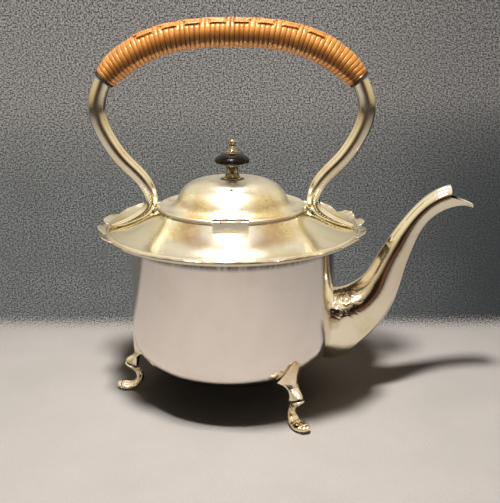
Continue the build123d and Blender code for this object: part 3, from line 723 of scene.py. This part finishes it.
# Across one turn of cane: how far over it, from 0 to 1, and how deep its face is, in mm.
ribbon = (
    (0, 0.75),
    (0.05, 0.3),
    (0.14, 0.1),
    (0.32, 0.02),
    (0.5, 0),
    (0.68, 0.02),
    (0.86, 0.1),
    (0.95, 0.3),
    (1, 0.75),
    (0.94, 1.9),
    (0.5, 1.9),
    (0.06, 1.9),
)
form = bmesh.new()
rings = []
round_steps = 72
last = grip_long - binding_wide
run_on = [turn_edges[0] - 0.003] + turn_edges + [last + 0.003]
for step in range(-round_steps, turns * round_steps + 1):
    phase = step / round_steps
    low, high = (
        float(np.interp(edge, range(-1, turns + 2), run_on)) for edge in (phase, phase + 1)
    )
    round_it = phase * 2 * math.pi
    off_top = (round_it + math.pi) % (2 * math.pi) - math.pi
    ring = []
    for u, drop in ribbon:
        s = min(max(low + (high - low) * u, binding_wide), last)
        lift = -drop * 0.001
        r = float(np.interp(s, grip_at, grip_run[:, 2]))
        if drop < 1 and abs(off_top * r) < 0.0088:
            lane = max(-2, min(2, round(off_top * r / lane_step)))
            if strip_from < s < strip_to:
                inside = 1 - step_up(abs(off_top * r), 0.0069, 0.0075)
                over = strip_over(s, lane)
                lift -= (0.0013 * over - 0.0004 * (1 - over)) * inside
        ring.append(on_grip(s, round_it, lift))
    rings.append(ring)
skin(form, rings)
cane_turns = new_piece("cane_turns", form, cane, "kettle")
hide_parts("cane_wrap")

form = bmesh.new()
# A strip cut across, in mm: sideways from its middle, and up.
flat_strip = (
    (-1.25, 0.0),
    (-1.22, 0.26),
    (-0.9, 0.34),
    (0, 0.38),
    (0.9, 0.34),
    (1.22, 0.26),
    (1.25, 0.0),
    (0.6, -0.1),
    (-0.6, -0.1),
)
for lane, first in lanes:
    rings = []
    s = first - 0.002
    while s < spans[lane][-1][1] + 0.002:
        lift = -0.0009 + 0.00112 * strip_over(s, lane)
        r = float(np.interp(s, grip_at, grip_run[:, 2]))
        middle = lane * lane_step + 0.0001 * math.sin(s * 700 + lane)
        rings.append(
            [
                on_grip(s, (middle + wide / 1000) / (r + lift), lift + rise / 1000)
                for wide, rise in flat_strip
            ]
        )
        s += 0.0005
    skin(form, rings)
cane_strips = new_piece("cane_strips", form, cane, "kettle")
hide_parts("cane_strand")

# Bindings. Waxed black thread, drawn tight round each end of the cane in a few turns that
# keep it from unwinding.
thread, tree, shader = new_finish("thread", 0.0, 0.4)
twist = mottle(tree, metres(tree, (3, 1, 1)), 1400, 3)
waxed = tint(tree, twist, (0.008, 0.006, 0.005), (0.035, 0.026, 0.02))
tree.links.new(waxed, shader.inputs["Base Color"])
tree.links.new(relief(tree, twist, 0.0001), shader.inputs["Normal"])
shader.inputs["Roughness"].default_value = 0.45
thread_r = 0.00042
thread_turns = 3
wound_r = 0.00685
core_r = 0.0063
for side_name, start in (("left", 0.0), ("right", grip_long - binding_wide)):
    form = bmesh.new()
    rings = []
    for step in range(thread_turns * 48 + 1):
        phase = step / 48
        s = start + thread_r + (binding_wide - 2 * thread_r) * phase / thread_turns
        r = float(np.interp(s, grip_at, grip_run[:, 2]))
        lift = wound_r - thread_r - r
        ring = []
        for k in range(10):
            turn = k * math.pi / 5
            beside, above = thread_r * math.cos(turn), thread_r * math.sin(turn)
            ring.append(on_grip(s + beside, phase * 2 * math.pi, lift + above))
        rings.append(ring)
    skin(form, rings)
    rings = []
    for s in (start + 0.0001, start + binding_wide - 0.0001):
        r = float(np.interp(s, grip_at, grip_run[:, 2]))
        rings.append([on_grip(s, k * math.pi / 24, core_r - r) for k in range(48)])
    skin(form, rings)
    binding = new_piece("thread_" + side_name, form, thread, "kettle")
    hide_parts("binding_" + side_name)

# Lid. Spun in one piece: a low dome with a flat flange, satin on its crown from handling, with a
# small vent before the finial and a ring soldered under the flange, which enters the mouth. Gold
# patches on both sides of the hinge are a painted reflection, the finial's foot is ringed with
# painted shade, and a dark dot further forward is painted as the shade of a vent hole.
lid_silver = silver(
    "lid_silver", (0.95, 0.89, 0.74), (0.85, 0.74, 0.50), 0.27, 0.42, 0.0001, 0.00001,
    # Painted reflection: gold patches on both sides of the hinge.
    spots=(
        ((axis_x - 0.020, -0.031, 0.1290), 0.005, 0.009),
        ((axis_x + 0.023, -0.030, 0.1290), 0.007, 0.010),
    ), spot_colour=(0.62, 0.45, 0.16),
)
tree = lid_silver.node_tree
# Painted shade: a dark ring round the finial's foot, and a dark dot for the shade in a vent hole.
painted_foot_shade = near(tree, metres(tree), (axis_x, 0, 0.1416), 0.0070, 0.0010)
painted_vent_shade = near(tree, metres(tree), (axis_x, -0.0253, 0.1401), 0.0008, 0.0003)
paint_shade(lid_silver, combine(tree, painted_foot_shade, painted_vent_shade, "MAXIMUM"), (0.03, 0.02, 0.012))
dress(["lid_cover", "lid_bezel"], lid_silver)

# Hinge. Five knuckles on one steel pin: two belong to the lid's leaf, and three to the cradle on
# the shoulder, which is polished with it. A low block is soldered on the flange behind the leaf.
hinge_silver = silver(
    "hinge_silver", (0.86, 0.78, 0.66), (0.66, 0.55, 0.38), 0.24, 0.4, 0.0001, 0.00001, (14, 1, 1)
)
dress(["hinge_leaf"], hinge_silver)
dress(["hinge_seat"], shoulder_silver)
block_middle = Vector((axis_x, -0.0400, 0.1277))
block_size = Vector((0.0204, 0.0088, 0.0044))
form = bmesh.new()
bmesh.ops.create_cube(form, size=1)
for corner in form.verts:
    corner.co = block_middle + corner.co * block_size
bmesh.ops.bevel(form, geom=form.edges[:], offset=0.0004, segments=2, affect="EDGES")
new_piece("hinge_block", form, hinge_silver, "lid", crease=30)
steel = silver("steel", (0.62, 0.6, 0.57), (0.42, 0.33, 0.24), 0.2, 0.4, 0.0001, 0.00001)
dress(["hinge_pin"], steel)

# Finial. A waisted stem with a flared foot, a thin disc, a domed ebony button and a spun cap
# with a ball, all held on the lid by a stud and its nut inside. The stem's foot is painted dark
# as shade, and two creases of the turning higher up are darker too.
finial_silver = silver(
    "finial_silver", (0.50, 0.42, 0.27), (0.10, 0.07, 0.035), 0.08, 0.2, 0.0001, 0.00001,
    # Painted shade at the stem's foot; the two rings above darken two creases.
    spots=(
        ((axis_x, 0, 0.1431), 0.0046, 0.0004),
        ((axis_x, 0, 0.1507), 0.0040, 0.0006),
        ((axis_x, 0, 0.1628), 0.0017, 0.0004),
    ), spot_colour=(0.03, 0.02, 0.012),
)
dress(["finial_stud", "finial_nut"], finial_silver)
disc_silver = silver(
    "disc_silver", (0.30, 0.21, 0.12), (0.10, 0.06, 0.035), 0.16, 0.3, 0.0001, 0.00001
)
dress(["finial_disc"], disc_silver)
ebony, tree, shader = new_finish("ebony", 0.0, 0.12, 0.09)
grain = mottle(tree, metres(tree, (1, 1, 6)), 420, 5, 0.7, 1.5)
streak = spread(tree, grain, 0.42, 0.66, 0, 1)
nearly_black = tint(tree, streak, (0.002, 0.0015, 0.001), (0.016, 0.006, 0.003))
tree.links.new(nearly_black, shader.inputs["Base Color"])
tree.links.new(relief(tree, grain, 0.00008), shader.inputs["Normal"])
shader.inputs["Roughness"].default_value = 0.16
shader.inputs["Coat Roughness"].default_value = 0.05


def turned(name, profile, made, crease=50):
    """A piece spun on the lid's middle from its outline: radius and height in mm."""
    form = bmesh.new()
    rings = []
    for r, z in profile:
        ring = []
        for a in np.linspace(0, 2 * math.pi, 65)[:-1]:
            ring.append(Vector((axis_x + r * math.cos(a) / 1000, r * math.sin(a) / 1000, z / 1000)))
        rings.append(ring)
    skin(form, rings)
    return new_piece(name, form, made, "lid", crease)


stem_outline = (
    (2.2, 141.5), (5.0, 141.6), (5.5, 142.0), (5.5, 142.6), (5.0, 143.0), (4.5, 143.1),
    (4.7, 143.5), (4.3, 144.4), (3.9, 145.8), (3.7, 147.2), (3.6, 148.8), (3.6, 150.0),
    (4.1, 150.3), (4.1, 150.6), (2.2, 150.7),
)
stem = turned("finial_post", stem_outline, finial_silver, 35)
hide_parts("finial_stem")
button_outline = (
    (2.0, 151.9), (8.6, 151.85), (10.0, 152.0), (10.6, 152.5), (10.75, 153.2), (10.5, 154.2),
    (9.8, 155.3), (8.6, 156.3), (7.2, 157.1), (5.6, 157.7), (4.4, 158.0), (3.0, 158.1),
    (2.0, 158.1),
)
button = turned("ebony_button", button_outline, ebony)
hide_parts("finial_button")
cap_outline = (
    (0.8, 157.6), (4.5, 157.7), (4.8, 158.1), (4.6, 158.5), (4.1, 158.7), (4.3, 159.0),
    (3.9, 159.3), (3.3, 159.6), (2.8, 160.3), (2.3, 161.2), (1.85, 162.1), (1.65, 162.6),
    (1.65, 162.9), (2.2, 163.2), (2.5, 163.8), (2.6, 164.6), (2.45, 165.4), (1.9, 166.1),
    (1.1, 166.5), (0.2, 166.6),
)
cap = turned("finial_crown", cap_outline, finial_silver, 35)
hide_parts("finial_cap")

# Floor. A pale cloth with a soft nap, running back to darker grey felt, which glows a little by
# itself for the camera and the metal. The felt's grain and dimming are laid out in the main
# camera's own perspective, from the fixed place where it stands, and look stretched elsewhere.
floor_mesh = bpy.data.meshes.new("floor")
form = bmesh.new()
bmesh.ops.create_grid(form, x_segments=4, y_segments=4, size=40)
form.to_mesh(floor_mesh)
form.free()
floor = bpy.data.objects.new("floor", floor_mesh)
bpy.context.scene.collection.objects.link(floor)
floor_cloth, tree, shader = new_finish("floor_cloth", 0.0, 0.1)
where = metres(tree)
place = apart(tree, where)
nap = mottle(tree, where, 1100, 3, 0.7)
worn = mottle(tree, where, 14, 4, 0.6)
worn = spread(tree, worn, 0.35, 0.7, 0, 1)
pale = tint(tree, worn, (0.62, 0.57, 0.535), (0.56, 0.52, 0.48))
pale = tint(tree, spread(tree, nap, 0.4, 0.7, 0, 0.5), pale, (0.46, 0.43, 0.40))
tree.links.new(pale, shader.inputs["Base Color"])
shader.inputs["Roughness"].default_value = 0.95
tree.links.new(relief(tree, nap, 0.0004), shader.inputs["Normal"])


def felt_pile(tree, over, up):
    """The felt's grain, 0 in its hollows and 1 on its hairs, laid out over and up."""
    laid = tree.nodes.new("ShaderNodeCombineXYZ")
    tree.links.new(over, laid.inputs["X"])
    tree.links.new(up, laid.inputs["Y"])
    hairs = spread(tree, mottle(tree, laid.outputs[0], 460, 3, 0.8), 0.42, 0.58, 0, 1)
    return laid.outputs[0], hairs


camera_back = 0.483
away = combine(tree, place["Y"], camera_back, "ADD")
over = combine(tree, place["X"], away, "DIVIDE")
laid, pile = felt_pile(tree, over, combine(tree, 0.28, away, "DIVIDE"))
lumps = spread(tree, mottle(tree, laid, 14, 3, 0.6), 0.35, 0.7, 0, 0.5)
felt = tint(tree, pile, (0.30, 0.302, 0.285), (0.012, 0.018, 0.020))
felt = tint(tree, lumps, felt, (0.11, 0.105, 0.10))
high_hairs, high_hollows = (0.42, 0.39, 0.355), (0.04, 0.037, 0.036)
high = tint(tree, pile, high_hairs, high_hollows)
felt = tint(tree, spread(tree, away, 0.75, 2.6, 0, 1, True), felt, high)
# Painted shade: the felt is dimmed towards the right; further back it is made lighter.
right = spread(tree, over, 0.02, 0.34, 0, 1, True)
dim = combine(tree, right, spread(tree, away, 0.62, 3.0, 0.9, 0.35, True))
unlit_felt = (0.03, 0.033, 0.035)
far = tint(tree, dim, felt, unlit_felt)
glow = tree.nodes.new("ShaderNodeEmission")
tree.links.new(far, glow.inputs["Color"])
rays = tree.nodes.new("ShaderNodeLightPath")
shown = combine(tree, rays.outputs["Is Camera Ray"], rays.outputs["Is Glossy Ray"], "MAXIMUM")
edge = combine(tree, place["Y"], combine(tree, pile, 0.018), "ADD")
back = spread(tree, edge, 0.118, 0.143, 0.0, 1.0)
cloth = tree.nodes.new("ShaderNodeMixShader")
tree.links.new(combine(tree, shown, back), cloth.inputs["Fac"])
tree.links.new(shader.outputs["BSDF"], cloth.inputs[1])
tree.links.new(glow.outputs["Emission"], cloth.inputs[2])
tree.links.new(cloth.outputs["Shader"], tree.nodes["Material Output"].inputs["Surface"])
floor.data.materials.append(floor_cloth)
floor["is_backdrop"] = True

# Light. A room that is dim low down and light overhead, with a pale strip of ceiling that runs
# from behind the kettle to in front of it. Metal sees all of it, cloth and cane see a much
# dimmer one, and the camera sees neither, but a wall of the same grey felt.
sky = bpy.data.worlds.new("room")
bpy.context.scene.world = sky
sky.use_nodes = True
tree = sky.node_tree
shader = tree.nodes["Background"]
toward = apart(tree, tree.nodes.new("ShaderNodeTexCoord").outputs["Generated"])


def bands(tree, value, stops):
    """A colour for each height, blending from one to the next."""
    ramp = tree.nodes.new("ShaderNodeValToRGB")
    ramp.color_ramp.interpolation = "EASE"
    while len(ramp.color_ramp.elements) < len(stops):
        ramp.color_ramp.elements.new(0.5)
    for element, (at, colour) in zip(ramp.color_ramp.elements, stops):
        element.position = at
        element.color = (*colour, 1)
    tree.links.new(value, ramp.inputs["Fac"])
    return ramp.outputs["Color"]


rear = bands(
    tree,
    toward["Z"],
    [
        (0.0, (0.12, 0.12, 0.115)),
        (0.12, (0.16, 0.15, 0.135)),
        (0.26, (0.50, 0.45, 0.35)),
        (0.5, (0.66, 0.60, 0.48)),
        (0.8, (0.88, 0.83, 0.72)),
        (1.0, (0.94, 0.91, 0.85)),
    ],
)
front = bands(
    tree,
    toward["Z"],
    [
        (0.0, (0.19, 0.085, 0.05)),
        (0.06, (0.12, 0.045, 0.028)),
        (0.12, (0.012, 0.010, 0.010)),
        (0.30, (0.016, 0.013, 0.011)),
        (0.42, (0.44, 0.36, 0.24)),
        (0.62, (0.84, 0.77, 0.62)),
        (1.0, (0.94, 0.91, 0.85)),
    ],
)
mix = tree.nodes.new("ShaderNodeMix")
mix.data_type = "RGBA"
tree.links.new(spread(tree, toward["Y"], -0.3, 0.3, 0.0, 1.0), mix.inputs["Factor"])
tree.links.new(front, mix.inputs["A"])
tree.links.new(rear, mix.inputs["B"])
sides = bands(
    tree,
    toward["Z"],
    [
        (0.0, (0.30, 0.24, 0.15)),
        (0.12, (0.50, 0.42, 0.27)),
        (0.5, (0.86, 0.78, 0.60)),
        (1.0, (0.92, 0.88, 0.80)),
    ],
)
sideways = combine(tree, toward["X"], 0.0, "ABSOLUTE")
room = tint(tree, spread(tree, sideways, 0.32, 0.72, 0, 1, True), mix.outputs["Result"], sides)
seen_by = tree.nodes.new("ShaderNodeLightPath")
strip = combine(
    tree,
    combine(
        tree,
        spread(tree, toward["X"], -0.30, -0.12, 0.0, 1.0, True),
        spread(tree, toward["X"], 0.12, 0.30, 1.0, 0.0, True),
    ),
    spread(tree, toward["Z"], 0.74, 0.88, 0.0, 1.0, True),
)
shine = tint(tree, strip, room, (0.92, 0.89, 0.83))
soft = tint(tree, strip, (0.012, 0.012, 0.012), (0.1, 0.098, 0.095))
unseen = tint(tree, seen_by.outputs["Is Glossy Ray"], soft, shine)
over = combine(tree, toward["X"], toward["Y"], "DIVIDE")
laid, pile = felt_pile(tree, over, combine(tree, toward["Z"], toward["Y"], "DIVIDE"))
wall = tint(tree, pile, high_hairs, high_hollows)
# Painted shade: the wall dims towards the right, as the felt does.
wall = tint(tree, spread(tree, over, 0.02, 0.34, 0, 0.35, True), wall, unlit_felt)
shown = tint(tree, seen_by.outputs["Is Camera Ray"], unseen, wall)
tree.links.new(shown, shader.inputs["Color"])
shader.inputs["Strength"].default_value = 1.0

# Three lamps. The strongest hangs above, a little to the front and the left, and throws the
# shadow. The two weak ones behind and before are seen by metal only, and give it its glints.
for name, power, size, tall, place, on_cloth in (
    ("lamp_above", 7.6, 0.09, 0.09, (axis_x - 0.06, -0.232, 0.787), True),
    ("lamp_behind", 0.9, 0.22, 0.46, (axis_x - 0.02, 0.42, 0.92), False),
    ("lamp_before", 0.6, 0.08, 0.12, (axis_x, -0.60, 0.60), False),
):
    lamp_data = bpy.data.lights.new(name, "AREA")
    lamp_data.shape = "RECTANGLE"
    lamp_data.size = size
    lamp_data.size_y = tall
    lamp_data.energy = power
    lamp_data.color = (1.0, 0.98, 0.95)
    lamp = bpy.data.objects.new(name, lamp_data)
    bpy.context.scene.collection.objects.link(lamp)
    lamp.location = place
    lamp.visible_diffuse = on_cloth
    lamp.rotation_mode = "QUATERNION"
    lamp.rotation_quaternion = (lamp.location - Vector((axis_x, 0, 0.1))).to_track_quat("Z", "Y")

# Camera. In front of the kettle and level with the top of its handle, looking down at the bowl
# through a lens somewhat longer than a normal one.
camera_data = bpy.data.cameras.new("camera")
camera_data.sensor_width = 36
camera_data.lens = 790 / 503 * 36
camera_data.clip_start = 0.01
camera = bpy.data.objects.new("camera", camera_data)
bpy.context.scene.collection.objects.link(camera)
camera.location = (axis_x + 0.011, -camera_back, 0.234)
camera.rotation_euler = (math.radians(90 - 16.05), 0, 0)
bpy.context.scene.camera = camera
bpy.context.scene.view_settings.view_transform = "Standard"

[[list(corner) for corner in pair] for pair in (cad_box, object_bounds())]
